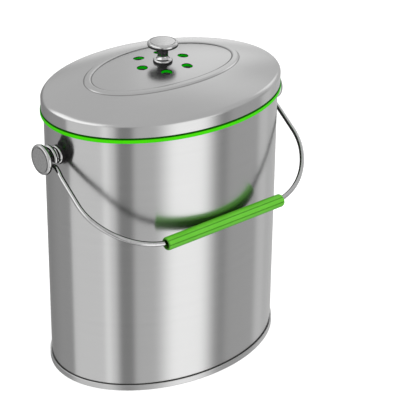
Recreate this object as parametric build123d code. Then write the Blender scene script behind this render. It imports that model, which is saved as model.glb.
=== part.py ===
from build123d import *
from math import asin, atan2, cos, degrees, radians, sin, sqrt
import os

# Oval kitchen compost caddy: a sheet-steel pail with a lift-off lid, a carbon filter
# under the lid's vents, and a wire bail with a loose plastic grip.
# Millimetres. +Z is up and -Y is the front. X is the long axis of the oval, through the
# two bail studs. The origin is the centre of the oval on the plane that the foot stands on.

# ---- Driving dimensions ----------------------------------------------------------------

# Pail: an upright oval wall, measured on its outer face
half_length = 107.0
half_width = 78.0
wall_t = 0.8
rim_z = 240.0
rim_bead_r = 1.8

# Foot: the rolled channel that holds the wall's lower edge, and the floor pan inside it
foot_h = 5.4
foot_overhang = 1.4
foot_web = 1.0
foot_leg = 1.0
foot_round = 0.65
floor_t = 0.8
floor_flange_h = 3.6

# Lid: one pressed shell. Its skirt stands proud of the wall and its top is a low oval dome
# with the vents and the knob in the middle and a raised oval bead round them.
lid_t = 0.7
skirt_overhang = 2.1
skirt_drop = 5.7
shoulder_rise = 6.1
shoulder_r = 4.3
dome_rise = 15.2
lid_bead_half_length = 67.1
lid_bead_half_width = 37.8
lid_bead_w = 6.5
lid_bead_h = 1.4
vent_count = 6
vent_r = 4.5
vent_circle_r = 21.3

# Seal: a soft channel that is held in the skirt and sits over the pail's rim
seal_lip_h = 3.4
seal_lip_overhang = 2.8
seal_lip_round = 0.9
seal_web_t = 1.5
seal_inner_lip_t = 1.2
seal_inner_lip_h = 5.8

# Turned button: the same part is the lid's knob and both bail studs
button_flange_r = 8.0
button_flange_t = 2.6
button_flange_round = 1.2
button_neck_r = 4.4
button_cove_h = 2.6
button_flare_h = 3.4
button_head_r = 12.7
button_head_t = 4.2
button_edge_round = 1.9
button_crown_h = 0.5
button_h = 17.3
tap_depth = 9.0

# Screws that hold the buttons: M4, pan head, cross recess
screw_r = 2.0
screw_head_r = 3.6
screw_head_h = 2.4
screw_head_round = 0.9
screw_reach = 6.5
recess_w = 1.0
recess_l = 4.2
recess_depth = 1.3
washer_r = 6.0
washer_t = 1.0

# Filter under the vents: a holder against the lid, a carbon ring and a slotted cover
holder_r = 33.0
holder_wall = 2.0
holder_plate_depth = 4.0
holder_vent_r = 4.6
filter_t = 6.0
filter_hole_r = 7.2
cover_t = 1.8
cover_spigot_h = 1.9
cover_spigot_t = 1.4
cover_slot_count = 12
cover_slot_w = 3.0
cover_slot_inner_r = 11.0
cover_slot_outer_r = 26.0

# Bail: one bent wire with an eye round each stud, resting against the front of the wall.
# It has play along the studs and is drawn shifted to the left, and so is the grip on it.
stud_drop = 31.5
wire_r = 2.0
bail_crank = 0.8
bail_reach = 103.3
bail_shift = -1.0
bail_upper_bend_r = 66.0
bail_lower_bend_r = 45.0
bail_lower_bend_deg = 25.8
eye_r = 8.2
eye_offset = 6.7
eye_turn_r = 4.0
eye_end_deg = 26.0
eye_crank_h = 12.0
grip_r = 5.5
grip_bore_r = 3.5
grip_past_bend = 11.0
grip_slide = -1.2
grip_round = 2.0

# Clearances
fit_gap = 0.05
rest_gap = 0.3
seal_gap = 0.35
seal_lip_gap = 0.9
screw_hole_gap = 0.25

# ---- Sizes that follow -----------------------------------------------------------------

rim_bead_round = 0.95 * rim_bead_r
wall_bottom_z = foot_web + fit_gap
stud_z = rim_z - stud_drop
skirt_bottom_z = rim_z - skirt_drop
shoulder_z = rim_z + shoulder_rise
crown_z = shoulder_z + dome_rise
lid_bead_round = 0.8 * lid_bead_h
skirt_inner = skirt_overhang - lid_t
seal_lip_bottom_z = skirt_bottom_z - seal_lip_gap - seal_lip_h
seal_outer = skirt_inner - 2 * fit_gap
seal_web_z = rim_z + rest_gap
holder_bore_r = holder_r - holder_wall
holder_plate_z = crown_z - holder_plate_depth
filter_top_z = holder_plate_z - rest_gap
filter_bottom_z = filter_top_z - filter_t
holder_bottom_z = filter_bottom_z - rest_gap - cover_spigot_h
cover_top_z = holder_bottom_z - fit_gap
knob_seat_z = crown_z + fit_gap
eye_x = half_length + eye_offset
bail_half_span = eye_x + bail_crank
bail_upper_bend_deg = 90 - bail_lower_bend_deg
bail_low_x = bail_half_span - bail_lower_bend_r * (1 - cos(radians(bail_lower_bend_deg)))
bail_straight = bail_low_x - bail_upper_bend_r * sin(radians(bail_upper_bend_deg))
grip_length = 2 * (bail_straight + grip_past_bend)
bail_tilt = degrees(asin((half_width + grip_r + rest_gap) / bail_reach))


# ---- Shapes that repeat ----------------------------------------------------------------

def oval(offset, z):
    """A flat oval face at height z, offset outwards from the pail's outer face."""
    return Pos(0, 0, z) * Ellipse(half_length + offset, half_width + offset)


def oval_block(offset, z0, z1):
    """A solid oval block between two heights."""
    return extrude(oval(offset, z0), z1 - z0)


def oval_ring(inner, outer, z0, z1):
    """A ring that follows the pail's wall, between two offsets and two heights."""
    return oval_block(outer, z0, z1) - oval_block(inner, z0, z1)


def edges_at(shape, z):
    """The edges that lie wholly at one height."""
    return shape.edges().filter_by_position(Axis.Z, z - 0.001, z + 0.001)


def outer_edge(shape, z):
    """The longest edge at one height, which is the outer one on a ring."""
    return edges_at(shape, z).sort_by(SortBy.LENGTH)[-1]


def inner_edge(shape, z):
    """The shortest edge at one height, which is the inner one on a ring."""
    return edges_at(shape, z).sort_by(SortBy.LENGTH)[0]


def cylinder(radius, z0, z1):
    """An upright cylinder on the Z axis between two heights."""
    return extrude(Pos(0, 0, z0) * Circle(radius), z1 - z0)


def tube(inner, outer, z0, z1):
    """An upright tube on the Z axis between two heights."""
    return cylinder(outer, z0, z1) - cylinder(inner, z0, z1)


def turned_button(root):
    """Knob or stud on the Z axis, seated at z=0, with its foot carried on down to -root."""
    head_z = button_h - button_head_t
    cove_z = button_flange_t + button_cove_h
    flare_z = head_z - button_flare_h
    flange_face_r = button_flange_r - button_flange_round
    head_face_r = button_head_r - button_edge_round
    crown_r = (head_face_r ** 2 + button_crown_h ** 2) / (2 * button_crown_h)
    under_r = button_neck_r + button_flare_h / 2
    outline = [
        Line((0, -root), (button_flange_r, -root)),
        Line((button_flange_r, -root), (button_flange_r, button_flange_t - button_flange_round)),
        RadiusArc((button_flange_r, button_flange_t - button_flange_round),
                  (flange_face_r, button_flange_t), -button_flange_round),
        Spline((flange_face_r, button_flange_t), (button_neck_r, cove_z),
               tangents=[(-1, 0), (0, 1)]),
        Line((button_neck_r, cove_z), (button_neck_r, flare_z)),
        Spline((button_neck_r, flare_z), (under_r, head_z), tangents=[(0, 1), (1, 0.4)]),
        Line((under_r, head_z), (head_face_r, head_z)),
        RadiusArc((head_face_r, head_z), (button_head_r, head_z + button_edge_round),
                  -button_edge_round),
        Line((button_head_r, head_z + button_edge_round),
             (button_head_r, button_h - button_edge_round)),
        RadiusArc((button_head_r, button_h - button_edge_round), (head_face_r, button_h),
                  -button_edge_round),
        RadiusArc((head_face_r, button_h), (0, button_h + button_crown_h), -crown_r),
        Line((0, button_h + button_crown_h), (0, -root)),
    ]
    half = Plane.XZ * make_face(Wire(outline).edges())
    tapped = cylinder(screw_r + fit_gap, -root, tap_depth)
    return revolve(half, Axis.Z) - tapped


def pan_screw(length):
    """A screw on the Z axis: its head's bearing face is at z=0 and its tip at z=length."""
    head = cylinder(screw_head_r, -screw_head_h, 0)
    head = fillet(edges_at(head, -screw_head_h), screw_head_round)
    slot = Box(recess_l, recess_w, recess_depth, align=(Align.CENTER, Align.CENTER, Align.MIN))
    cross = Pos(0, 0, -screw_head_h) * (slot + Rot(Z=90) * slot)
    return head + cylinder(screw_r, 0, length) - cross


def along_x(shape, side):
    """Turn a shape made on the Z axis so that +Z points outwards at one end of the pail."""
    return Pos(0, 0, stud_z) * (Rot(Y=90 * side) * shape)


# ---- Pail ------------------------------------------------------------------------------

def pail_wall():
    """The drawn wall with its safe edge rolled inwards, and a hole for each stud's screw."""
    low_z = rim_z - 2 * rim_bead_r
    sheet = oval_ring(-wall_t, 0, wall_bottom_z, low_z)
    bead = oval_ring(-2 * rim_bead_r, 0, low_z, rim_z)
    bead = fillet(edges_at(bead, rim_z) + [inner_edge(bead, low_z)], rim_bead_round)
    hole = cylinder(screw_r + screw_hole_gap, -half_length - 1, half_length + 1)
    return sheet + bead - along_x(hole, 1)


def foot_ring():
    """The channel that is rolled round the wall's lower edge, which the pail stands on."""
    inner = -wall_t - fit_gap - foot_leg
    ring = oval_ring(inner, foot_overhang, 0, foot_h)
    ring = fillet([outer_edge(ring, 0), outer_edge(ring, foot_h)], foot_round)
    return ring - oval_ring(-wall_t - fit_gap, fit_gap, foot_web, foot_h)


def pail_floor():
    """The floor pan: its plate lies on the foot's inner leg and its flange inside it."""
    plate_z = foot_h + fit_gap
    plate = oval_block(-wall_t - fit_gap, plate_z, plate_z + floor_t)
    outer = -wall_t - foot_leg - 2 * fit_gap
    flange = oval_ring(outer - floor_t, outer, plate_z - floor_flange_h, plate_z)
    return plate + flange


def stud(side):
    """A turned stud at one end, its foot cut to the curve of the wall."""
    turned = Pos(0, 0, half_length) * turned_button(button_flange_t)
    return along_x(turned, side) - oval_block(fit_gap, 0, rim_z)


def stud_washer(side):
    """The washer inside the wall, its outer face curved to lie against the sheet."""
    outer = half_length - wall_t
    blank = tube(screw_r + screw_hole_gap, washer_r, outer - 2 * washer_t, outer)
    return along_x(blank, side) & oval_block(-wall_t - fit_gap, 0, rim_z)


def stud_screw(side):
    """The screw from inside the pail, through the washer and the wall into the stud."""
    head_face = half_length - wall_t - 2 * washer_t - fit_gap
    length = half_length + screw_reach - head_face
    return along_x(Pos(0, 0, head_face) * pan_screw(length), side)


# ---- Lid -------------------------------------------------------------------------------

def lid_form(t):
    """The solid under a lid surface that lies a distance t inside the outer one."""
    return dome(t) + lid_bead(t)


def dome(t):
    """The skirt, shoulder and dome: turned on the short axis, then stretched to the oval."""
    side = skirt_overhang - t
    base_r = half_width + side
    cap_r = (base_r ** 2 + dome_rise ** 2) / (2 * dome_rise)
    bottom = skirt_bottom_z - 2 * t
    outline = [
        Line((0, bottom), (base_r, bottom)),
        Line((base_r, bottom), (base_r, shoulder_z - t)),
        RadiusArc((base_r, shoulder_z - t), (0, crown_z - t), -cap_r),
        Line((0, crown_z - t), (0, bottom)),
    ]
    turned = revolve(Plane.XZ * make_face(Wire(outline).edges()), Axis.Z)
    turned = fillet(edges_at(turned, shoulder_z - t), shoulder_r - t)
    return scale(turned, by=((half_length + side) / base_r, 1, 1))


def lid_bead(t):
    """The raised bead: an oval ring whose top follows the dome."""
    outer = Ellipse(lid_bead_half_length + lid_bead_w - t, lid_bead_half_width + lid_bead_w - t)
    inner = Ellipse(lid_bead_half_length + t, lid_bead_half_width + t)
    ring = extrude(Pos(0, 0, shoulder_z) * (outer - inner), crown_z)
    bead = ring & (Pos(0, 0, lid_bead_h) * dome(t))
    top = bead.faces().sort_by(Axis.Z)[-1]
    return fillet(top.edges().sort_by(SortBy.LENGTH)[-2:], lid_bead_round - t)


def vent_tools(radius, z0, z1):
    """One upright cylinder at each vent."""
    return [place * cylinder(radius, z0, z1) for place in PolarLocations(vent_circle_r, vent_count)]


def lid_shell():
    """The pressed shell with its vents and the hole for the knob's screw."""
    shell = lid_form(0) - lid_form(lid_t)
    shell -= vent_tools(vent_r, holder_plate_z, crown_z + 1)
    return shell - cylinder(screw_r + screw_hole_gap, holder_plate_z, crown_z + 1)


def lid_seal():
    """The seal: a lip under the skirt, a sleeve inside it and a channel over the rim."""
    inner = -2 * rim_bead_r - rest_gap
    lip_top = seal_lip_bottom_z + seal_lip_h
    web_top = seal_web_z + seal_web_t
    lip = oval_ring(seal_gap, seal_lip_overhang, seal_lip_bottom_z, lip_top)
    lip = fillet([outer_edge(lip, seal_lip_bottom_z), outer_edge(lip, lip_top)], seal_lip_round)
    sleeve = oval_ring(seal_gap, seal_outer, seal_lip_bottom_z + seal_lip_h / 2, web_top)
    web = oval_ring(inner, seal_outer, seal_web_z, web_top)
    inner_lip = oval_ring(inner - seal_inner_lip_t, inner, web_top - seal_inner_lip_h, web_top)
    return lip + sleeve + web + inner_lip


def filter_holder():
    """The holder: its top follows the lid's underside, with a bore under each vent."""
    block = cylinder(holder_r, holder_bottom_z, crown_z)
    holder = block & (Pos(0, 0, -fit_gap) * lid_form(lid_t))
    holder -= cylinder(holder_bore_r, holder_bottom_z, holder_plate_z)
    holder -= vent_tools(holder_vent_r, holder_plate_z, crown_z)
    return holder - cylinder(screw_r + screw_hole_gap, holder_plate_z, crown_z)


def charcoal_filter():
    """The ring of carbon foam that lies in the holder round the screw's head."""
    return tube(filter_hole_r, holder_bore_r - rest_gap, filter_bottom_z, filter_top_z)


def filter_cover():
    """The slotted cover that plugs into the holder and keeps the filter up."""
    plate = cylinder(holder_r, cover_top_z - cover_t, cover_top_z)
    spigot_r = holder_bore_r - rest_gap
    spigot = tube(spigot_r - cover_spigot_t, spigot_r, cover_top_z, cover_top_z + cover_spigot_h)
    mid_r = (cover_slot_inner_r + cover_slot_outer_r) / 2
    length = cover_slot_outer_r - cover_slot_inner_r
    shape = Pos(0, 0, cover_top_z - cover_t) * SlotOverall(length, cover_slot_w)
    slots = [place * extrude(shape, cover_t) for place in PolarLocations(mid_r, cover_slot_count)]
    return plate + spigot - slots


def lid_knob():
    """The turned knob at the middle of the crown."""
    return Pos(0, 0, knob_seat_z) * turned_button(0)


def knob_washer():
    """The washer under the holder's plate."""
    top = holder_plate_z - fit_gap
    return tube(screw_r + screw_hole_gap, washer_r, top - washer_t, top)


def knob_screw():
    """The screw from below, through the washer, the holder and the lid into the knob."""
    head_face = holder_plate_z - 2 * fit_gap - washer_t
    return Pos(0, 0, head_face) * pan_screw(knob_seat_z + screw_reach - head_face)


# ---- Bail ------------------------------------------------------------------------------

def arc_about(centre, start, turn):
    """An arc in the XZ plane from a start point, turned about a centre by some degrees."""
    def turned(angle):
        x, z = start[0] - centre[0], start[1] - centre[1]
        c, s = cos(radians(angle)), sin(radians(angle))
        return (centre[0] + x * c - z * s, 0, centre[1] + x * s + z * c)
    return ThreePointArc(turned(0), turned(turn / 2), turned(turn))


def eye_point(angle):
    """A point on the eye's circle, by its angle from the leg towards the back."""
    return (eye_x, eye_r * sin(radians(angle)), -eye_r * cos(radians(angle)))


def half_bail():
    """The right half of the wire's line, hanging straight down from the stud's axis."""
    turn_z = sqrt((eye_r + eye_turn_r) ** 2 - eye_turn_r ** 2)
    meet = degrees(atan2(eye_turn_r, turn_z))
    end = 360 - eye_end_deg
    mid = radians(180 + (90 + meet) / 2)
    turn_mid = (eye_x, eye_turn_r + eye_turn_r * sin(mid), -turn_z - eye_turn_r * cos(mid))
    crank_end_z = turn_z + eye_crank_h
    crank_deg = 2 * degrees(atan2(bail_crank, eye_crank_h))
    crank_r = eye_crank_h / 2 / sin(radians(crank_deg))
    crank_mid = arc_about((eye_x + crank_r, -turn_z), (eye_x, -turn_z), crank_deg)
    crank_out = arc_about((bail_half_span - crank_r, -crank_end_z),
                          (bail_half_span, -crank_end_z), crank_deg)
    low_z = -bail_reach + bail_upper_bend_r * (1 - cos(radians(bail_upper_bend_deg)))
    leg_end_z = low_z + bail_lower_bend_r * sin(radians(bail_lower_bend_deg))
    return [
        ThreePointArc(eye_point(end), eye_point((end + meet) / 2), eye_point(meet)),
        ThreePointArc(eye_point(meet), turn_mid, (eye_x, 0, -turn_z)),
        crank_mid,
        ThreePointArc(crank_out @ 1, crank_out @ 0.5, crank_out @ 0),
        Line((bail_half_span, 0, -crank_end_z), (bail_half_span, 0, leg_end_z)),
        arc_about((bail_half_span - bail_lower_bend_r, leg_end_z),
                  (bail_half_span, leg_end_z), -bail_lower_bend_deg),
        arc_about((bail_straight, -bail_reach + bail_upper_bend_r), (bail_low_x, low_z),
                  -bail_upper_bend_deg),
        Line((bail_straight, 0, -bail_reach), (0, 0, -bail_reach)),
    ]


def hang(shape):
    """Swing a shape made hanging straight down to where the bail rests."""
    return Pos(bail_shift, 0, stud_z) * (Rot(X=-bail_tilt) * shape)


def bail_wire():
    """The bent wire: half of it is swept from the middle out and mirrored."""
    line = Wire(half_bail())
    start = Plane(origin=(0, 0, -bail_reach), z_dir=(1, 0, 0))
    half = sweep(start * Circle(wire_r), path=line)
    return hang(half + mirror(half, Plane.YZ))


def bail_grip():
    """The loose plastic tube on the straight middle of the wire."""
    bar = Cylinder(grip_r, grip_length)
    bar = fillet(bar.edges().filter_by(GeomType.CIRCLE), grip_round)
    bar -= Cylinder(grip_bore_r, grip_length)
    return hang(Pos(grip_slide, 0, -bail_reach) * (Rot(Y=90) * bar))


pieces = {
    "pail_wall": pail_wall(),
    "pail_floor": pail_floor(),
    "foot_ring": foot_ring(),
    "lid_shell": lid_shell(),
    "lid_seal": lid_seal(),
    "filter_holder": filter_holder(),
    "charcoal_filter": charcoal_filter(),
    "filter_cover": filter_cover(),
    "lid_knob": lid_knob(),
    "knob_washer": knob_washer(),
    "knob_screw": knob_screw(),
    "bail_wire": bail_wire(),
    "bail_grip": bail_grip(),
}
for name, side in (("left", -1), ("right", 1)):
    pieces[name + "_stud"] = stud(side)
    pieces[name + "_stud_washer"] = stud_washer(side)
    pieces[name + "_stud_screw"] = stud_screw(side)

os.makedirs("parts", exist_ok=True)
for name, shape in pieces.items():
    export_step(shape, "parts/" + name + ".step")
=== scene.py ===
from math import atan2, cos, degrees, exp, pi, radians, sin, sqrt

import bpy
from mathutils import Matrix, Vector, noise
from mathutils.geometry import delaunay_2d_cdt


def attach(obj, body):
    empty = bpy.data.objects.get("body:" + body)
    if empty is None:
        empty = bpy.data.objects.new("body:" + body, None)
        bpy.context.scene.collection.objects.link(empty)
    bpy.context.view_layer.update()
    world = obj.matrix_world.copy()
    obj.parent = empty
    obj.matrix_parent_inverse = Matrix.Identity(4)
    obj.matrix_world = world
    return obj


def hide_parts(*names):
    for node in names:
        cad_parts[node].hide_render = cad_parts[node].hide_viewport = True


# Looks of the oval compost caddy. Shapes are written in millimetres in the part's own
# frame (+Z up, -Y the front, X through the two bail studs) and made in metres.

MM = 0.001

# Pail and foot
HALF_LENGTH, HALF_WIDTH = 107.0, 78.0
WALL_T, RIM_Z, RIM_BEAD_R = 0.8, 240.0, 1.8
WALL_BOTTOM_Z = 1.05
FOOT_H, FOOT_OVERHANG, FOOT_INNER, FOOT_CHANNEL = 5.4, 1.4, -1.85, -0.85
FOOT_WEB = 1.0

# Lid and seal
LID_T, SKIRT_OVERHANG, SKIRT_BOTTOM_Z = 0.7, 2.1, 234.3
SHOULDER_Z, SHOULDER_R, SHOULDER_DROP, SHOULDER_REACH = 246.1, 4.3, 2.97, 2.77
DOME_RISE = 15.2
BEAD_LENGTH, BEAD_WIDTH, BEAD_W, BEAD_H = 67.1, 37.8, 6.5, 1.0
# CREASE_SHADE_W is the width of the painted shade along the bead's corner lines.
BEAD_FOOT_CUT, BEAD_SIDE, BEAD_TOP_CUT, CREASE_SHADE_W = 0.35, 1.2, 1.0, 0.6
MIDDLE_LENGTH, MIDDLE_WIDTH = 64.6, 35.3
VENT_COUNT, VENT_R, VENT_CIRCLE_R, VENT_EDGE = 6, 4.5, 21.3, 0.2
SEAL_BOTTOM_Z, SEAL_LIP_H, SEAL_OVERHANG, SEAL_GAP = 230.0, 3.15, 2.8, 0.35
SEAL_WEB_Z, SEAL_WEB_T, SEAL_OUTER, SEAL_NECK = 240.3, 1.5, 1.5, 0.55
SEAL_INNER, SEAL_INNER_T, SEAL_INNER_H = -3.9, 1.2, 5.8

# Turned button: the knob and both studs
BUTTON_H, FLANGE_R, FLANGE_T, NECK_R, COVE_Z = 17.3, 8.0, 2.6, 4.4, 5.2
HEAD_R, HEAD_T, HEAD_EDGE, HEAD_CROWN = 12.7, 4.2, 1.9, 0.5
KNOB_SEAT_Z, STUD_Z = 261.35, 208.5

# Filter
FILTER_R, FILTER_HOLE_R, FILTER_BOTTOM_Z, FILTER_TOP_Z = 30.7, 7.2, 251.0, 257.0

FOAM_BULGE = 1.7

# Bail
WIRE_R, HALF_SPAN, REACH, TILT_DEG, BAIL_SHIFT = 2.0, 114.5, 103.3, 54.216, -1.0
UPPER_BEND_R, LOWER_BEND_R, LOWER_BEND_DEG = 66.0, 45.0, 25.8
EYE_X, EYE_R, EYE_TURN_R, EYE_END_DEG, CRANK_H = 113.7, 8.2, 4.0, 26.0, 12.0
GRIP_R, GRIP_BORE_R, GRIP_LENGTH, GRIP_ROUND, GRIP_SLIDE = 5.5, 3.5, 123.187, 2.0, -1.2
GRIP_GROOVES, GROOVE_DEPTH, GROOVE_W, GROOVE_TURN_DEG = 8, 1.25, 0.27, 37.0


# Stage
DEEPER_REFLECTION = 0.05


# ---- Mesh building ---------------------------------------------------------------------

class Shape:
    """A mesh in the making: points in millimetres, each with its own exact normal."""

    def __init__(self):
        self.points, self.normals, self.faces = [], [], []

    def add(self, point, normal):
        self.points.append(Vector(point))
        self.normals.append(Vector(normal).normalized())
        return len(self.points) - 1

    def ring(self, segments, place, direction, base=None):
        """One ring of a loft: place is (half length, half width, z), with z counted from
        the base surface where there is one."""
        a, b, z = place
        da, db, dz = direction
        if a < 1e-6:
            return [self.add((0, 0, z), (0, 0, -da))] * segments
        ratio = a / b
        made = []
        for i in range(segments):
            c, s = cos(2 * pi * i / segments), sin(2 * pi * i / segments)
            point = Vector((a * c, b * s, z))
            normal = Vector((dz * c, ratio * dz * s, -(da * c * c + ratio * db * s * s)))
            if base:
                height, upward = base(point.x, point.y)
                point.z += height
                normal.xy += upward.xy * normal.z
            made.append(self.add(point, normal))
        return made

    def strip(self, low, high):
        """Quads, or triangles at a pole, between two closed rings of indices."""
        count = len(low)
        for i in range(count):
            j = (i + 1) % count
            face = [low[i], low[j], high[j], high[i]]
            face = [v for k, v in enumerate(face) if v != face[k - 1]]
            if len(face) > 2:
                self.faces.append(face)

    def loft(self, path, segments, closed=True):
        """Rings along a path of (place, direction) and, for some, the base surface,
        counterclockwise round the section."""
        rings = [self.ring(segments, *step) for step in path]
        pairs = list(zip(range(len(path) - 1), range(1, len(path))))
        if closed:
            pairs.append((len(path) - 1, 0))
        for j, k in pairs:
            if (path[j][0] - path[k][0]).length > 1e-7:
                self.strip(rings[j], rings[k])
        return rings

    def moved(self, matrix):
        """The same shape, turned and shifted."""
        turn = matrix.to_3x3()
        self.points = [matrix @ p for p in self.points]
        self.normals = [turn @ n for n in self.normals]
        return self

    def build(self, name, material, body, replaces=(), slot=None):
        """Make the Blender object, let it ride on its body and stand for CAD nodes."""
        mesh = bpy.data.meshes.new(name)
        mesh.from_pydata([p * MM for p in self.points], [], self.faces)
        mesh.polygons.foreach_set("use_smooth", [True] * len(mesh.polygons))
        mesh.normals_split_custom_set_from_vertices(self.normals)
        mesh.materials.append(material)
        made = bpy.data.objects.new(name, mesh)
        bpy.context.scene.collection.objects.link(made)
        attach(made, body)
        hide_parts(*replaces)
        return made


def rounded(corners, steps=8, closed=True):
    """A path through corners of (a, b, z, cut): straight runs joined by tangent arcs that
    start cut before each corner. A cut of 0 keeps the corner sharp."""
    places = [Vector(c[:3]) for c in corners]
    count = len(places)
    path = []
    for i, corner in enumerate(corners):
        if not closed and i == 0:
            path.append((places[0], (places[1] - places[0]).normalized()))
            continue
        before = (places[i] - places[i - 1]).normalized()
        if not closed and i == count - 1:
            path.append((places[i], before))
            continue
        after = (places[(i + 1) % count] - places[i]).normalized()
        cut = corner[3]
        if not cut:
            path += [(places[i], before), (places[i], after)]
            continue
        turn = before.angle(after)
        side = (after - before * before.dot(after)).normalized()
        radius = cut / sin(turn / 2) * cos(turn / 2)
        centre = places[i] - before * cut + side * radius
        for step in range(steps + 1):
            angle = turn * step / steps
            place = centre + radius * (before * sin(angle) - side * cos(angle))
            path.append((place, before * cos(angle) + side * sin(angle)))
    return path


def refined(path, step):
    """The same path with more places on its long runs."""
    made = []
    for (place, direction), (after, _) in zip(path, path[1:]):
        count = max(1, round((after - place).length / step))
        made += [(place.lerp(after, i / count), direction) for i in range(count)]
    return made + path[-1:]


def oval(offset, z, cut=0.0):
    """A corner on the oval that lies offset outside the pail's outer face."""
    return (HALF_LENGTH + offset, HALF_WIDTH + offset, z, cut)


def turned(radius, z, cut=0.0):
    """A corner of a turned section."""
    return (radius, radius, z, cut)


def hermite(start, end, start_dir, end_dir, steps):
    """A smooth curve between two section points (r, z) with the directions at its ends."""
    chord = sqrt((end[0] - start[0]) ** 2 + (end[1] - start[1]) ** 2)
    path = []
    for i in range(1, steps):
        t = i / steps
        r, z, dr, dz = (
            (2 * t ** 3 - 3 * t ** 2 + 1) * start[0] + (3 * t ** 2 - 2 * t ** 3) * end[0]
            + chord * ((t ** 3 - 2 * t ** 2 + t) * start_dir[0] + (t ** 3 - t ** 2) * end_dir[0]),
            (2 * t ** 3 - 3 * t ** 2 + 1) * start[1] + (3 * t ** 2 - 2 * t ** 3) * end[1]
            + chord * ((t ** 3 - 2 * t ** 2 + t) * start_dir[1] + (t ** 3 - t ** 2) * end_dir[1]),
            6 * (t - t * t) * (end[0] - start[0])
            + chord * ((3 * t * t - 4 * t + 1) * start_dir[0] + (3 * t * t - 2 * t) * end_dir[0]),
            6 * (t - t * t) * (end[1] - start[1])
            + chord * ((3 * t * t - 4 * t + 1) * start_dir[1] + (3 * t * t - 2 * t) * end_dir[1]),
        )
        path.append((Vector((r, r, z)), Vector((dr, dr, dz)).normalized()))
    return path


# ---- Shader helpers --------------------------------------------------------------------

def node(tree, kind, inputs=None, **settings):
    """Add a shader node. An input is a plain value or another node's output."""
    made = tree.nodes.new(kind)
    for name, value in settings.items():
        setattr(made, name, value)
    for key, value in (inputs or {}).items():
        if isinstance(value, bpy.types.NodeSocket):
            tree.links.new(value, made.inputs[key])
        else:
            made.inputs[key].default_value = value
    return made


def maths(tree, operation, *values, clamp=False):
    """A Math node's result."""
    made = node(tree, "ShaderNodeMath", dict(enumerate(values)), operation=operation)
    made.use_clamp = clamp
    return made.outputs[0]


def remap(tree, value, low, high, to_low, to_high, smooth=False):
    """A Map Range node's result."""
    kind = "SMOOTHSTEP" if smooth else "LINEAR"
    made = node(tree, "ShaderNodeMapRange", {0: value, 1: low, 2: high, 3: to_low, 4: to_high},
                interpolation_type=kind)
    return made.outputs[0]


def streaks(tree, scale, detail=2.0):
    """Noise in the piece's own coordinates, stretched by a scale along each axis."""
    coords = node(tree, "ShaderNodeTexCoord").outputs["Object"]
    mapped = node(tree, "ShaderNodeMapping", {"Vector": coords, "Scale": scale}).outputs[0]
    return node(tree, "ShaderNodeTexNoise",
                {"Vector": mapped, "Scale": 1.0, "Detail": detail}).outputs[0]


def tinted(tree, low, high, factor):
    """A colour between two by a factor from 0 to 1."""
    made = node(tree, "ShaderNodeMix", {0: factor, 6: (*low, 1), 7: (*high, 1)},
                data_type="RGBA")
    return made.outputs[2]


def new_material(name, **constants):
    """A material with a Principled shader whose plain values are given."""
    made = bpy.data.materials.new(name)
    made.use_nodes = True
    tree = made.node_tree
    shader = tree.nodes["Principled BSDF"]
    for key, value in constants.items():
        shader.inputs[key.replace("_", " ")].default_value = value
    return made, tree, shader


def painted_crease_shade(tree, half_length, half_width, depth):
    """A factor that is darker along an oval line: painted shade along a pressed corner of the lid's bead."""
    coords = node(tree, "ShaderNodeTexCoord").outputs["Object"]
    x, y, _ = node(tree, "ShaderNodeSeparateXYZ", {0: coords}).outputs
    u = maths(tree, "DIVIDE", x, half_length * MM)
    v = maths(tree, "DIVIDE", y, half_width * MM)
    size = maths(tree, "SQRT", maths(tree, "ADD", maths(tree, "MULTIPLY", u, u),
                                     maths(tree, "MULTIPLY", v, v)))
    across_x = maths(tree, "DIVIDE", u, half_length * MM)
    across_y = maths(tree, "DIVIDE", v, half_width * MM)
    steep = maths(tree, "SQRT", maths(tree, "ADD", maths(tree, "MULTIPLY", across_x, across_x),
                                      maths(tree, "MULTIPLY", across_y, across_y)))
    apart = maths(tree, "DIVIDE", maths(tree, "MULTIPLY", maths(tree, "SUBTRACT", size, 1.0), size),
                  steep)
    return remap(tree, maths(tree, "ABSOLUTE", apart), 0.1 * MM, CREASE_SHADE_W * MM, 1 - depth, 1,
                 smooth=True)


def brushed_steel(name, grain, roughness, anisotropy=0.0, contrast=1.0, tone=0.64, painted_crease_shades=()):
    """Brushed sheet: grain is the noise scale along each axis, fine across the brushing, and
    painted_crease_shades are the half length, half width and depth of the painted shade along each oval corner
    line."""
    made, tree, shader = new_material(name, Metallic=1.0, Anisotropic=anisotropy)
    fine = streaks(tree, grain, 3.0)
    broad = streaks(tree, tuple(g / 7 for g in grain), 2.0)
    both = maths(tree, "ADD", maths(tree, "MULTIPLY", fine, 0.55),
                 maths(tree, "MULTIPLY", broad, 0.45))
    low = tuple(tone * (1 - contrast * share) for share in (0.045, 0.045, 0.05))
    high = tuple(tone * (1 + contrast * share) for share in (0.04, 0.04, 0.035))
    colour = tinted(tree, low, high, remap(tree, both, 0.3, 0.7, 0, 1))
    # Each oval corner line darkens the colour: painted shade.
    for size in painted_crease_shades:
        colour = node(tree, "ShaderNodeVectorMath", {0: colour, "Scale": painted_crease_shade(tree, *size)},
                      operation="SCALE").outputs[0]
    tree.links.new(colour, shader.inputs["Base Color"])
    spread = 0.025 * contrast
    tree.links.new(remap(tree, both, 0.3, 0.7, roughness - spread, roughness + spread),
                   shader.inputs["Roughness"])
    if anisotropy:
        tangent = node(tree, "ShaderNodeTangent", direction_type="RADIAL", axis="Z")
        tree.links.new(tangent.outputs[0], shader.inputs["Tangent"])
        shader.inputs["Anisotropic Rotation"].default_value = 0.25
    bump = node(tree, "ShaderNodeBump",
                {"Strength": 0.06 * contrast, "Distance": 0.00002, "Height": fine})
    tree.links.new(bump.outputs[0], shader.inputs["Normal"])
    return made


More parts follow.
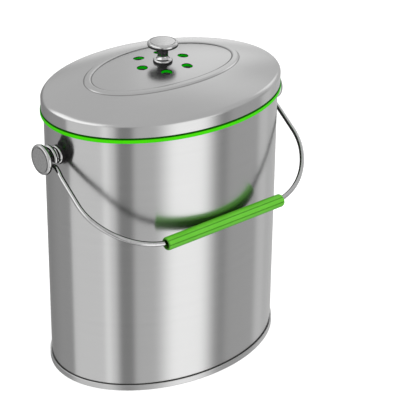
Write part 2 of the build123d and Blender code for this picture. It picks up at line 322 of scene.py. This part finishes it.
def polished_steel(name, roughness, tone=0.66):
    """Bright bare steel with faint rubbing marks."""
    made, tree, shader = new_material(name, Metallic=1.0)
    rub = streaks(tree, (180, 180, 180), 4.0)
    tree.links.new(remap(tree, rub, 0.3, 0.7, roughness * 0.8, roughness * 1.3),
                   shader.inputs["Roughness"])
    mottle = remap(tree, streaks(tree, (620, 620, 620), 3.0), 0.35, 0.65, 0, 1)
    colour = tinted(tree, (tone * 0.93,) * 3, (tone * 1.05,) * 3, mottle)
    tree.links.new(colour, shader.inputs["Base Color"])
    return made


def plastic(name, low, high, roughness, grain=2600, bump=0.12, specular=0.5):
    """Moulded plastic or rubber with a fine eroded grain."""
    made, tree, shader = new_material(name)
    shader.inputs["Specular IOR Level"].default_value = specular
    broad = streaks(tree, (60, 60, 60), 3.0)
    fine = streaks(tree, (grain,) * 3, 2.0)
    tree.links.new(tinted(tree, low, high, remap(tree, broad, 0.35, 0.65, 0, 1)),
                   shader.inputs["Base Color"])
    tree.links.new(remap(tree, fine, 0.3, 0.7, roughness - 0.05, roughness + 0.06),
                   shader.inputs["Roughness"])
    relief = node(tree, "ShaderNodeBump", {"Strength": bump, "Distance": 0.00005, "Height": fine})
    tree.links.new(relief.outputs[0], shader.inputs["Normal"])
    return made


def paint_groove_shade(made, tree, shader, axis_y, axis_z):
    """Paint shade into a plastic tube's grooves: the colour darkens with depth below its round surface."""
    coords = node(tree, "ShaderNodeTexCoord").outputs["Object"]
    apart = node(tree, "ShaderNodeVectorMath", {0: coords, 1: (0, axis_y * MM, axis_z * MM)},
                 operation="SUBTRACT").outputs[0]
    across = node(tree, "ShaderNodeVectorMath", {0: apart, 1: (0, 1, 1)},
                  operation="MULTIPLY").outputs[0]
    radius = node(tree, "ShaderNodeVectorMath", {0: across}, operation="LENGTH").outputs["Value"]
    shade = remap(tree, radius, (GRIP_R - GROOVE_DEPTH) * MM, (GRIP_R - 0.12) * MM, 0.25, 1)
    colour = shader.inputs["Base Color"].links[0].from_socket
    darker = node(tree, "ShaderNodeVectorMath", {0: colour, "Scale": shade}, operation="SCALE")
    tree.links.new(darker.outputs[0], shader.inputs["Base Color"])
    return made


def carbon_foam(name):
    """Open-cell foam loaded with charcoal."""
    made, tree, shader = new_material(name, Roughness=0.95)
    shader.inputs["Specular IOR Level"].default_value = 0.15
    coords = node(tree, "ShaderNodeTexCoord").outputs["Object"]
    cells = node(tree, "ShaderNodeTexVoronoi", {"Vector": coords, "Scale": 900.0}).outputs[0]
    speck = streaks(tree, (1500,) * 3, 3.0)
    depth = maths(tree, "ADD", cells, maths(tree, "MULTIPLY", speck, 0.4))
    tree.links.new(tinted(tree, (0.004, 0.004, 0.004), (0.035, 0.035, 0.034),
                          remap(tree, depth, 0.25, 1.1, 0, 1)), shader.inputs["Base Color"])
    relief = node(tree, "ShaderNodeBump", {"Strength": 0.9, "Distance": 0.0005, "Height": depth})
    tree.links.new(relief.outputs[0], shader.inputs["Normal"])
    return made


# ---- Frame -----------------------------------------------------------------------------

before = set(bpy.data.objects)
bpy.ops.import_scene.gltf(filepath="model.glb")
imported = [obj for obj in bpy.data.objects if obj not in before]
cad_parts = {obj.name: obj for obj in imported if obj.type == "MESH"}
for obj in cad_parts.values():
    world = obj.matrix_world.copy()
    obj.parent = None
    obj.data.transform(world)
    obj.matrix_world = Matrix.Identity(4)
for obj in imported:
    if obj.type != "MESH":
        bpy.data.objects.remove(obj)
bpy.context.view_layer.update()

wall_steel = brushed_steel("wall_steel", (11, 11, 1900), 0.19, 0.7, contrast=0.5)
pressed = brushed_steel("pressed_steel", (11, 11, 900), 0.3, 0.4, contrast=0.6)
# Painted shade darkens the lid along the bead's inner and outer corner lines.
lid_steel = brushed_steel("lid_steel", (14, 700, 700), 0.24, contrast=0.25, painted_crease_shades=(
    (BEAD_LENGTH, BEAD_WIDTH, 0.7), (BEAD_LENGTH + BEAD_W, BEAD_WIDTH + BEAD_W, 0.4)))
bright_steel = polished_steel("bright_steel", 0.09)
wire_steel = polished_steel("wire_steel", 0.1)
fastener_steel = brushed_steel("fastener_steel", (1200, 1200, 1200), 0.3)
seal_green = plastic("seal_green", (0.05, 0.6, 0.0), (0.058, 0.64, 0.001), 0.5, 1400, specular=0.05)
# Darker green as painted shade in the recess under the skirt's edge, above the seal's lip.
seal_painted_shade = plastic("seal_recess_painted_shade", (0.01, 0.15, 0.002), (0.012, 0.17, 0.002), 0.6, 1400,
                    specular=0.02)
grip_green = plastic("grip_green", (0.1, 0.45, 0.02), (0.115, 0.48, 0.026), 0.4, 1800, specular=0.3)
holder_green = plastic("holder_green", (0.001, 0.5, 0.001), (0.002, 0.54, 0.002), 0.5, 2200,
                       specular=0.08)
charcoal = carbon_foam("charcoal")


# ---- Pail ------------------------------------------------------------------------------

def pail_wall():
    """Drawn wall with its rolled safe edge."""
    bead = RIM_BEAD_R * 0.95
    low_z = RIM_Z - 2 * RIM_BEAD_R
    path = rounded([
        oval(-WALL_T, WALL_BOTTOM_Z, 0.25), oval(0, WALL_BOTTOM_Z, 0.25),
        oval(0, RIM_Z, bead), oval(-2 * RIM_BEAD_R, RIM_Z, bead),
        oval(-2 * RIM_BEAD_R, low_z, bead), oval(-WALL_T, low_z),
    ])
    shape = Shape()
    shape.loft(path, 720)
    return shape.build("wall_sheet", wall_steel, "pail", ["pail_wall"], "brushed_wall")


def foot_ring():
    """Rolled channel round the wall's lower edge."""
    path = rounded([
        oval(FOOT_INNER, 0, 0.3), oval(FOOT_OVERHANG, 0, 0.62),
        oval(FOOT_OVERHANG, FOOT_H, 0.62), oval(0.05, FOOT_H, 0.1),
        oval(0.05, FOOT_WEB, 0.05), oval(FOOT_CHANNEL, FOOT_WEB, 0.05),
        oval(FOOT_CHANNEL, FOOT_H, 0.2), oval(FOOT_INNER, FOOT_H, 0.3),
    ])
    shape = Shape()
    shape.loft(path, 720)
    return shape.build("foot_channel", pressed, "pail", ["foot_ring"], "pressed_steel")


# ---- Lid -------------------------------------------------------------------------------

def dome_at(x, y, drop):
    """Height and upward normal of the lid's dome over a point, drop inside its outer face."""
    half = HALF_WIDTH + SKIRT_OVERHANG - drop
    stretch = (HALF_LENGTH + SKIRT_OVERHANG - drop) / half
    ball = (half ** 2 + DOME_RISE ** 2) / (2 * DOME_RISE)
    height = sqrt(ball ** 2 - (x / stretch) ** 2 - y ** 2)
    crown_z = SHOULDER_Z - drop + DOME_RISE
    return crown_z - ball + height, Vector((x / stretch ** 2 / height, y / height, 1))


def vent_centres():
    return [(VENT_CIRCLE_R * cos(2 * pi * i / VENT_COUNT), VENT_CIRCLE_R * sin(2 * pi * i / VENT_COUNT))
            for i in range(VENT_COUNT)]


def middle(shape, edge, drop, up):
    """Cover the dome's middle from its edge ring to the vents, and return each vent's rim."""
    flat, owners, fixed = [], [], []
    facing = 1 if up else -1

    def put(x, y):
        z, normal = dome_at(x, y, drop)
        flat.append(Vector((x, y)))
        owners.append(shape.add((x, y, z), normal * facing))

    for index in edge:
        flat.append(shape.points[index].xy)
        owners.append(index)
    fixed += [(i, (i + 1) % len(edge)) for i in range(len(edge))]
    rims = []
    for cx, cy in vent_centres():
        first = len(flat)
        for radius, count in ((VENT_R + VENT_EDGE, 72), (VENT_R + 0.8, 72), (VENT_R + 2.2, 48)):
            for i in range(count):
                angle = 2 * pi * i / count
                put(cx + radius * cos(angle), cy + radius * sin(angle))
        rims.append(owners[first:first + 72])
        fixed += [(first + i, first + (i + 1) % 72) for i in range(72)]
    for step in range(1, 24):
        share = 1 - step / 24
        count = max(8, round(2 * pi * share * 55 / 2.6))
        for i in range(count):
            angle = 2 * pi * (i + 0.5 * (step % 2)) / count
            x, y = MIDDLE_LENGTH * share * cos(angle), MIDDLE_WIDTH * share * sin(angle)
            if all((x - cx) ** 2 + (y - cy) ** 2 > (VENT_R + 3) ** 2 for cx, cy in vent_centres()):
                put(x, y)
    points, _, triangles, origin, _, _ = delaunay_2d_cdt(flat, fixed, [], 0, 1e-7)
    for triangle in triangles:
        centre = sum((points[v] for v in triangle), Vector((0, 0))) / 3
        if any((centre - Vector(c)).length < VENT_R for c in vent_centres()):
            continue
        corners = [owners[origin[v][0]] for v in triangle]
        shape.faces.append(corners if up else corners[::-1])
    return rims


def vent_wall(shape, top_rim, low_rim, centre):
    """Round the rims over and join them by the vent's short bore."""
    rings = []
    for rim, sense in ((top_rim, -1), (low_rim, 1)):
        made = [rim]
        for step in range(1, 5):
            angle = pi / 2 * step / 4
            ring = []
            for index in rim:
                outward = (shape.points[index].xy - Vector(centre)).normalized().to_3d()
                point = shape.points[index] - outward * VENT_EDGE * sin(angle)
                point.z += sense * VENT_EDGE * (1 - cos(angle))
                normal = shape.normals[index] * cos(angle) - outward * sin(angle)
                ring.append(shape.add(point, normal))
            made.append(ring)
        rings.append(made)
    chain = rings[0] + rings[1][::-1]
    for high, low in zip(chain, chain[1:]):
        shape.strip(low, high)


def lid_side(drop):
    """Section of the lid from above the skirt to the edge of its middle, in heights above
    the dome, for the surface that lies drop inside the outer one."""
    half = HALF_WIDTH + SKIRT_OVERHANG - drop
    stretch = (HALF_LENGTH + SKIRT_OVERHANG - drop) / half
    share = 1 - drop / SHOULDER_R
    low, high = (half, -SHOULDER_DROP * share), (half - SHOULDER_REACH * share, 0)
    curve = hermite(low, high, (0, 1), (-1, 0), 12)
    curve.append((Vector((high[0], high[0], 0)), Vector((-1, -1, 0))))
    shoulder = [(Vector((place.x * stretch, place.y, place.z)),
                 Vector((way.x * stretch, way.y, way.z))) for place, way in curve]
    inset = drop + BEAD_SIDE
    bead = rounded([
        (*shoulder[-1][0], 0),
        (BEAD_LENGTH + BEAD_W - drop, BEAD_WIDTH + BEAD_W - drop, 0, BEAD_FOOT_CUT),
        (BEAD_LENGTH + BEAD_W - inset, BEAD_WIDTH + BEAD_W - inset, BEAD_H, BEAD_TOP_CUT),
        (BEAD_LENGTH + inset, BEAD_WIDTH + inset, BEAD_H, BEAD_TOP_CUT),
        (BEAD_LENGTH + drop, BEAD_WIDTH + drop, 0, BEAD_FOOT_CUT),
        (MIDDLE_LENGTH, MIDDLE_WIDTH, 0, 0),
    ], 8, closed=False)
    return shoulder + refined(bead[1:], 2.0)


def lid_shell():
    """Pressed shell: skirt, rounded shoulder, dome with its oval bead, and vents."""
    def over(x, y):
        return dome_at(x, y, 0)

    def under(x, y):
        return dome_at(x, y, LID_T)
    inner = [(place, -way, under) for place, way in lid_side(LID_T)[::-1]]
    outer = [(place, way, over) for place, way in lid_side(0)]
    inner_top_z = SHOULDER_Z - LID_T - SHOULDER_DROP * (1 - LID_T / SHOULDER_R)
    hem = rounded([
        oval(SKIRT_OVERHANG - LID_T, inner_top_z),
        oval(SKIRT_OVERHANG - LID_T, SKIRT_BOTTOM_Z, 0.2), oval(SKIRT_OVERHANG, SKIRT_BOTTOM_Z, 0.3),
        oval(SKIRT_OVERHANG, SHOULDER_Z - SHOULDER_DROP),
    ], 8, closed=False)
    shape = Shape()
    rings = shape.loft(inner + hem + outer, 720, closed=False)
    low_rims = middle(shape, rings[0], LID_T, up=False)
    top_rims = middle(shape, rings[-1], 0, up=True)
    for centre, top_rim, low_rim in zip(vent_centres(), top_rims, low_rims):
        vent_wall(shape, top_rim, low_rim, centre)
    made = shape.build("lid_pressing", lid_steel, "lid", ["lid_shell"], "brushed_lid")
    made.data.materials.append(wall_steel)
    skirt_z = (SHOULDER_Z - SHOULDER_DROP) * MM
    for face in made.data.polygons:
        if face.center.z < skirt_z:
            face.material_index = 1
    return made


def lid_seal():
    """Soft channel: lip below the skirt, sleeve inside it and web over the rim."""
    lip_top = SEAL_BOTTOM_Z + SEAL_LIP_H
    neck_z = SKIRT_BOTTOM_Z + 0.1
    web_top = SEAL_WEB_Z + SEAL_WEB_T
    tip_z = web_top - SEAL_INNER_H
    path = rounded([
        oval(SEAL_GAP, SEAL_BOTTOM_Z, 0.3), oval(SEAL_OVERHANG, SEAL_BOTTOM_Z, 0.9),
        oval(SEAL_OVERHANG, lip_top, 0.7), oval(SEAL_NECK, lip_top, 0.05),
        oval(SEAL_NECK, neck_z, 0.05), oval(SEAL_OUTER, neck_z, 0.05),
        oval(SEAL_OUTER, web_top, 0.5), oval(SEAL_INNER - SEAL_INNER_T, web_top, 0.4),
        oval(SEAL_INNER - SEAL_INNER_T, tip_z, 0.4), oval(SEAL_INNER, tip_z, 0.4),
        oval(SEAL_INNER, SEAL_WEB_Z, 0.4), oval(SEAL_GAP, SEAL_WEB_Z, 0.4),
    ])
    shape = Shape()
    shape.loft(path, 720)
    made = shape.build("seal_channel", seal_green, "lid", ["lid_seal"], "seal_rubber")
    # The lip's top and the neck above it take the darker green: painted shade under the skirt's edge.
    made.data.materials.append(seal_painted_shade)
    for face in made.data.polygons:
        if (lip_top - 0.2) * MM < face.center.z < (neck_z + 0.1) * MM:
            face.material_index = 1
    return made


def charcoal_ring():
    """Foam ring with an uneven open surface, its top bulging up into the vents."""
    path = rounded([
        turned(FILTER_HOLE_R, FILTER_BOTTOM_Z, 0.5), turned(FILTER_R, FILTER_BOTTOM_Z, 0.8),
        turned(FILTER_R, FILTER_TOP_Z, 0.8), turned(FILTER_HOLE_R, FILTER_TOP_Z, 0.5),
    ])
    shape = Shape()
    shape.loft(refined(path + path[:1], 0.7)[:-1], 300)
    for index, normal in enumerate(shape.normals):
        point = shape.points[index]
        if point.z > FILTER_TOP_Z - 0.01:
            apart = min((point.xy - Vector(centre)).length for centre in vent_centres())
            point.z += FOAM_BULGE * max(0, 1 - (apart / VENT_R) ** 10)
        pit = abs(noise.noise(point * 0.9)) * 0.35 + abs(noise.noise(point * 2.3)) * 0.25
        shape.points[index] = point - normal * min(pit, 0.4)
    made = shape.build("carbon_pad", charcoal, "cover", ["charcoal_filter"], "carbon_foam")
    return made


# ---- Knob and studs --------------------------------------------------------------------

def button(root):
    """Turned button on the Z axis: beaded foot, waisted neck and head with a rounded edge, parted by a fine
    groove from its slightly crowned face."""
    head_z = BUTTON_H - HEAD_T
    under_r = NECK_R + 1.7
    shape = Shape()
    foot = rounded([turned(0, -root), turned(FLANGE_R, -root, 0.1), turned(FLANGE_R, FLANGE_T, 1.85),
                    turned(FLANGE_R - 1.9, FLANGE_T)], 12, closed=False)
    cove = hermite((FLANGE_R - 1.9, FLANGE_T), (NECK_R, COVE_Z), (-0.35, -0.94), (0, 1), 16)
    flare = hermite((NECK_R, head_z - 3.4), (under_r, head_z), (0, 1), (0.93, 0.37), 14)
    head = rounded([
        turned(under_r, head_z), turned(HEAD_R, head_z, HEAD_EDGE), turned(HEAD_R, BUTTON_H, HEAD_EDGE),
        turned(HEAD_R - 1.95, BUTTON_H), turned(HEAD_R - 2.05, BUTTON_H - 0.35),
        turned(HEAD_R - 2.45, BUTTON_H - 0.35), turned(HEAD_R - 2.55, BUTTON_H + 0.06),
    ], 12, closed=False)
    face_r = HEAD_R - 2.55
    face_z = BUTTON_H + HEAD_CROWN - 0.1
    face = [(Vector((r, r, BUTTON_H + 0.06 + (face_z - BUTTON_H - 0.06) * (1 - (r / face_r) ** 2))),
             Vector((-1, -1, 2 * (face_z - BUTTON_H - 0.06) * r / face_r ** 2)).normalized())
            for r in (face_r * (1 - i / 10) for i in range(11))]
    path = foot + cove + [(Vector((NECK_R, NECK_R, COVE_Z)), Vector((0, 0, 1)))]
    path += [(Vector((NECK_R, NECK_R, head_z - 3.4)), Vector((0, 0, 1)))] + flare + head + face
    shape.loft(path, 144, closed=False)
    return shape


def knob():
    shape = button(0)
    shape.moved(Matrix.Translation((0, 0, KNOB_SEAT_Z)))
    return shape.build("turned_knob", bright_steel, "lid", ["lid_knob"], "polished_steel")


def stud(name, side):
    """A stud whose foot follows the curve of the wall."""
    shape = button(0)
    for index, point in enumerate(shape.points):
        if point.z < 0.3 and point.xy.length > FLANGE_R - 0.5:
            fall = HALF_LENGTH * (1 - sqrt(1 - (point.y / HALF_WIDTH) ** 2))
            shape.points[index].z -= (fall - 0.06) * (1 - point.z / 0.3)
    turn = Matrix.Rotation(side * pi / 2, 4, "Y")
    shape.moved(Matrix.Translation((0, 0, STUD_Z)) @ turn @ Matrix.Translation((0, 0, HALF_LENGTH)))
    return shape.build(name + "_turned_stud", bright_steel, "pail", [name + "_stud"], "polished_steel")


# ---- Bail ------------------------------------------------------------------------------

def hang(point):
    """Swing a point of the hanging bail to where the bail rests."""
    c, s = cos(radians(TILT_DEG)), sin(radians(TILT_DEG))
    x, y, z = point
    return Vector((x + BAIL_SHIFT, y * c + z * s, STUD_Z - y * s + z * c))


def arc(centre, start, turn_deg, steps):
    """Points after start on an arc in the XZ plane."""
    dx, dz = start[0] - centre[0], start[1] - centre[1]
    made = []
    for i in range(1, steps + 1):
        angle = radians(turn_deg) * i / steps
        made.append((centre[0] + dx * cos(angle) - dz * sin(angle), 0,
                     centre[1] + dx * sin(angle) + dz * cos(angle)))
    return made


def wire_line():
    """Centre line of the right half of the bail, from the eye's end to the middle."""
    turn_z = sqrt((EYE_R + EYE_TURN_R) ** 2 - EYE_TURN_R ** 2)
    meet = degrees(atan2(EYE_TURN_R, turn_z))
    end = 360 - EYE_END_DEG
    line = []
    for i in range(91):
        angle = radians(end + (meet - end) * i / 90)
        line.append((EYE_X, EYE_R * sin(angle), -EYE_R * cos(angle)))
    for i in range(1, 21):
        angle = radians(180 + meet + (90 - meet) * i / 20)
        line.append((EYE_X, EYE_TURN_R + EYE_TURN_R * sin(angle), -turn_z - EYE_TURN_R * cos(angle)))
    crank = HALF_SPAN - EYE_X
    crank_deg = 2 * degrees(atan2(crank, CRANK_H))
    crank_r = CRANK_H / 2 / sin(radians(crank_deg))
    crank_end_z = turn_z + CRANK_H
    line += arc((EYE_X + crank_r, -turn_z), (EYE_X, -turn_z), crank_deg, 10)
    line += arc((HALF_SPAN - crank_r, -crank_end_z), (HALF_SPAN, -crank_end_z), crank_deg, 10)[::-1][1:]
    line.append((HALF_SPAN, 0, -crank_end_z))
    upper_deg = 90 - LOWER_BEND_DEG
    low_x = HALF_SPAN - LOWER_BEND_R * (1 - cos(radians(LOWER_BEND_DEG)))
    top_x = low_x - UPPER_BEND_R * sin(radians(upper_deg))
    low_z = -REACH + UPPER_BEND_R * (1 - cos(radians(upper_deg)))
    leg_end_z = low_z + LOWER_BEND_R * sin(radians(LOWER_BEND_DEG))
    line.append((HALF_SPAN, 0, leg_end_z))
    line += arc((HALF_SPAN - LOWER_BEND_R, leg_end_z), (HALF_SPAN, leg_end_z), -LOWER_BEND_DEG, 20)
    line += arc((top_x, -REACH + UPPER_BEND_R), (low_x, low_z), -upper_deg, 40)
    line += [(top_x * k, 0, -REACH) for k in (0.75, 0.5, 0.25)]
    return line


def bail_wire():
    """Round wire along the whole bail, with its cut ends eased."""
    half = wire_line()
    line = [hang(p) for p in half] + [hang((0, 0, -REACH))]
    line += [hang((-x, y, z)) for x, y, z in half[::-1]]
    count = len(line)
    ahead = [(line[min(i + 1, count - 1)] - line[max(i - 1, 0)]).normalized() for i in range(count)]
    side = ahead[0].orthogonal().normalized()
    shape = Shape()
    rings = []
    for i, (point, along) in enumerate(zip(line, ahead)):
        side = (side - along * side.dot(along)).normalized()
        other = along.cross(side)
        steps = [(0.0, 0.0, 1.0)]
        if i == 0:
            steps = [(0.0, 1.0, 0.0), (WIRE_R - 0.3, 1.0, 0.0), (WIRE_R - 0.09, 0.7, 0.7)]
        if i == count - 1:
            steps = [(WIRE_R - 0.09, 0.7, 0.7), (WIRE_R - 0.3, 1.0, 0.0), (0.0, 1.0, 0.0)]
        for radius, end_share, side_share in steps:
            shown = radius if i in (0, count - 1) else WIRE_R
            outward = -along if i == 0 else along
            inset = along * (0.2 * side_share) * (1 if i == 0 else -1) if i in (0, count - 1) else Vector()
            ring = []
            for k in range(40):
                angle = 2 * pi * k / 40
                radial = side * cos(angle) + other * sin(angle)
                ring.append(shape.add(point + inset + radial * shown, radial * side_share + outward * end_share))
            rings.append(ring)
    for low, high in zip(rings, rings[1:]):
        shape.strip(low, high)
    return shape.build("bent_wire", wire_steel, "bail", ["bail_wire"], "bail_steel")


def grip():
    """Loose tube with shallow grooves along it, rounded ends and an eased bore."""
    half = GRIP_LENGTH / 2
    section = rounded([turned(GRIP_BORE_R, -half, 0.5), turned(GRIP_R, -half, GRIP_ROUND - 0.02),
                       turned(GRIP_R, half, GRIP_ROUND - 0.02), turned(GRIP_BORE_R, half, 0.5)], 10)
    count = GRIP_GROOVES * 36
    shape = Shape()
    shape.loft(section, count)
    for index, point in enumerate(shape.points):
        radius = point.xy.length
        share = min(1, max(0, (radius - GRIP_BORE_R - 0.8) / (GRIP_R - GRIP_BORE_R - 0.8)))
        turn = degrees(atan2(point.y, point.x)) - GROOVE_TURN_DEG
        apart = (turn + 180 / GRIP_GROOVES) % (360 / GRIP_GROOVES) - 180 / GRIP_GROOVES
        across = radians(apart) * GRIP_R
        depth = GROOVE_DEPTH * share * exp(-(across / GROOVE_W) ** 2)
        point.x *= 1 - depth / radius
        point.y *= 1 - depth / radius
    place = Matrix.Translation(hang((GRIP_SLIDE, 0, -REACH))) @ Matrix.Rotation(pi / 2, 4, "Y")
    shape.moved(place)
    made = shape.build("ribbed_grip", grip_green, "grip", ["bail_grip"], "grip_plastic")
    made.data.normals_split_custom_set([(0, 0, 0)] * len(made.data.loops))
    # Painted shade in the grip's grooves, darker with their depth.
    axis = hang((0, 0, -REACH))
    tree = grip_green.node_tree
    paint_groove_shade(grip_green, tree, tree.nodes["Principled BSDF"], axis.y, axis.z)
    return made


# ---- Stage -----------------------------------------------------------------------------

def studio_world():
    """White behind the object, plain light on it, and soft boxes and flags that only
    reflections see. Azimuth 0 is in front of the object and 90 to its right."""
    world = bpy.data.worlds.new("studio")
    bpy.context.scene.world = world
    world.use_nodes = True
    tree = world.node_tree
    tree.nodes.clear()
    facing = node(tree, "ShaderNodeTexCoord").outputs["Generated"]
    x, y, z = node(tree, "ShaderNodeSeparateXYZ", {0: facing}).outputs
    azimuth = maths(tree, "DEGREES", maths(tree, "ARCTAN2", x, maths(tree, "MULTIPLY", y, -1.0)))
    elevation = maths(tree, "DEGREES", maths(tree, "ARCSINE", z))

    def window(value, start, end, start_edge, end_edge):
        rise = remap(tree, value, start - start_edge, start + start_edge, 0, 1, smooth=True)
        fall = remap(tree, value, end - end_edge, end + end_edge, 1, 0, smooth=True)
        return maths(tree, "MULTIPLY", rise, fall)

    def panels(base, rows):
        """A base level with panels on it: a gain, then start, end and the softness of both
        by azimuth, and for some the same by elevation."""
        level = base
        for gain, *edges in rows:
            part = maths(tree, "MULTIPLY", window(azimuth, *edges[:4]), gain)
            if edges[4:]:
                part = maths(tree, "MULTIPLY", window(elevation, *edges[4:]), part)
            level = maths(tree, "ADD", part, level)
        return level

    low = panels(0.28, [
        (0.51, -118, -50, 1.5, 5),
        (0.22, -66, -58, 3, 3),
        (0.10, -165, -118, 25, 1.5),
        (0.32, -33, 34, 3, 9),
        (0.66, -6, 30, 10, 8),
        (0.18, 44, 75, 4, 4),
        (0.40, 77, 93, 4, 4),
        (0.30, 93, 152, 5, 16),
        (0.45, 130, 152, 6, 6, -19, 0, 4, 6),
    ])
    high = panels(0.6, [
        (0.85, -152, -64, 6, 8, 12, 46, 6, 8),
        (0.34, 128, 143, 3, 4, -10, 42, 8, 10),
        (0.22, 112, 128, 5, 3, 30, 46, 5, 6),
        (0.55, 82, 108, 5, 5, 12, 36, 6, 8),
    ])
    rise = remap(tree, elevation, 2, 14, 0, 1, smooth=True)
    level = node(tree, "ShaderNodeMix", {0: rise, 2: low, 3: high}, data_type="FLOAT").outputs[0]
    rays = node(tree, "ShaderNodeLightPath")
    deeper = remap(tree, rays.outputs["Glossy Depth"], 1, 2, 1, DEEPER_REFLECTION)
    level = maths(tree, "MULTIPLY", level, deeper)
    plain = node(tree, "ShaderNodeBackground", {0: (1, 1, 1, 1), 1: 0.85})
    studio = node(tree, "ShaderNodeBackground", {0: (1, 1, 1, 1), 1: level})
    white = node(tree, "ShaderNodeBackground", {0: (1, 1, 1, 1), 1: 1.0})
    mixed = node(tree, "ShaderNodeMixShader",
                 {0: rays.outputs["Is Glossy Ray"], 1: plain.outputs[0], 2: studio.outputs[0]})
    seen = node(tree, "ShaderNodeMixShader",
                {0: rays.outputs["Is Camera Ray"], 1: mixed.outputs[0], 2: white.outputs[0]})
    node(tree, "ShaderNodeOutputWorld", {0: seen.outputs[0]})


def floor():
    """Pale floor that turns white to the camera, keeps the object's shadow, and lets
    reflections look past it into the studio."""
    made, tree, shader = new_material("floor_white", Roughness=0.9)
    shader.inputs["Base Color"].default_value = (0.82, 0.82, 0.82, 1)
    rays = node(tree, "ShaderNodeLightPath")
    glow = node(tree, "ShaderNodeEmission", {0: (1, 1, 1, 1), 1: 0.45})
    lit = node(tree, "ShaderNodeAddShader", {0: shader.outputs[0], 1: glow.outputs[0]})
    clear = node(tree, "ShaderNodeBsdfTransparent")
    seen = node(tree, "ShaderNodeMixShader",
                {0: rays.outputs["Is Camera Ray"], 1: shader.outputs[0], 2: lit.outputs[0]})
    through = node(tree, "ShaderNodeMixShader",
                   {0: rays.outputs["Is Glossy Ray"], 1: seen.outputs[0], 2: clear.outputs[0]})
    output = tree.nodes["Material Output"]
    tree.links.new(through.outputs[0], output.inputs[0])
    mesh = bpy.data.meshes.new("floor")
    size = 6.0
    mesh.from_pydata([(-size, -size, 0), (size, -size, 0), (size, size, 0), (-size, size, 0)], [],
                     [(0, 1, 2, 3)])
    mesh.materials.append(made)
    plane = bpy.data.objects.new("floor", mesh)
    plane.location.z = -0.0002
    bpy.context.scene.collection.objects.link(plane)


def soft_lamp(name, location, target, size, power):
    """A square soft box that looks at a target."""
    lamp = bpy.data.lights.new(name, "AREA")
    lamp.size = size
    lamp.energy = power
    made = bpy.data.objects.new(name, lamp)
    made.location = location
    made.rotation_mode = "QUATERNION"
    made.rotation_quaternion = (Vector(target) - Vector(location)).to_track_quat("-Z", "Y")
    made.visible_glossy = False
    bpy.context.scene.collection.objects.link(made)


def camera():
    """The camera, with its back and up directions written out."""
    data = bpy.data.cameras.new("camera")
    data.sensor_width = 36.0
    data.lens = 144.292
    made = bpy.data.objects.new("camera", data)
    back = Vector((-0.57195157, -0.68035004, 0.45825235)).normalized()
    up = Vector((0.28588706, 0.35829097, 0.88876103))
    right = up.cross(back).normalized()
    up = back.cross(right)
    turn = Matrix((right, up, back)).transposed().to_4x4()
    made.matrix_world = Matrix.Translation((-0.75922177, -0.95244389, 0.7614603)) @ turn
    bpy.context.scene.collection.objects.link(made)
    bpy.context.scene.camera = made


# ---- Assembly --------------------------------------------------------------------------

def dress(names, material):
    """Give carried-over CAD nodes their material."""
    for name in names:
        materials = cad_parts[name].data.materials
        materials.clear()
        materials.append(material)


camera()
studio_world()
floor()
soft_lamp("key_lamp", (-0.9, -1.3, 1.5), (0, 0, 0.12), 0.9, 14)
soft_lamp("fill_lamp", (1.4, -0.6, 1.1), (0, 0, 0.12), 0.9, 6)

pail_wall()
foot_ring()
lid_shell()
lid_seal()
charcoal_ring()
knob()
stud("left", -1)
stud("right", 1)
bail_wire()
grip()
dress(["pail_floor"], pressed)
dress(["filter_holder", "filter_cover"], holder_green)
dress(["left_stud_washer", "right_stud_washer", "knob_washer"], fastener_steel)
dress(["left_stud_screw", "right_stud_screw", "knob_screw"], fastener_steel)

bpy.context.scene.view_settings.view_transform = "Standard"
